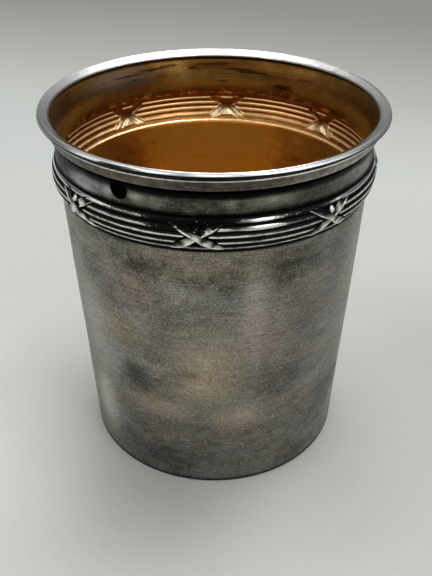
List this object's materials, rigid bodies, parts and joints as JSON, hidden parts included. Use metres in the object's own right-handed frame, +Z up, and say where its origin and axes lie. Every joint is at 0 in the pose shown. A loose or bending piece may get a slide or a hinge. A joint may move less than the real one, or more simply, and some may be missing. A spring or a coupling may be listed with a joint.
{
  "type": "julep cup",
  "caption": "Tapered silver beaker with a gilt inside, a band of reeds crossed by ribbon ties, a hollow neck and a beaded lip.",
  "frame": {"origin": "centre of the flat base, on the surface the cup stands on", "axes": "+Z up along the cup's axis; -Y is the side seen from the front, +X to the right of it"},
  "size_m": [0.08, 0.08, 0.0893],
  "materials": {
    "base_silver": "dull tarnished silver with fine turning lines",
    "wall_silver": "dull tarnished silver, brushed round the cup, with brown and grey patches",
    "reed_silver": "polished silver with black tarnish in the grooves",
    "ribbon_silver": "polished silver, worn bright on the edges",
    "neck_silver": "dull grey tarnished silver",
    "moulding_silver": "satin silver with a bright upper edge",
    "bead_silver": "bright polished silver",
    "gilt": "worn brushed gilding with orange and brown tarnish"
  },
  "bodies": {
    "root": {"base_disc": "base_silver", "body_wall": "wall_silver", "reed_band": "reed_silver", "ribbon_ties": "ribbon_silver", "neck_collar": "neck_silver", "lip_moulding": "moulding_silver", "rim_bead": "bead_silver", "gilt_lining": "gilt"}
  },
  "joints": []
}
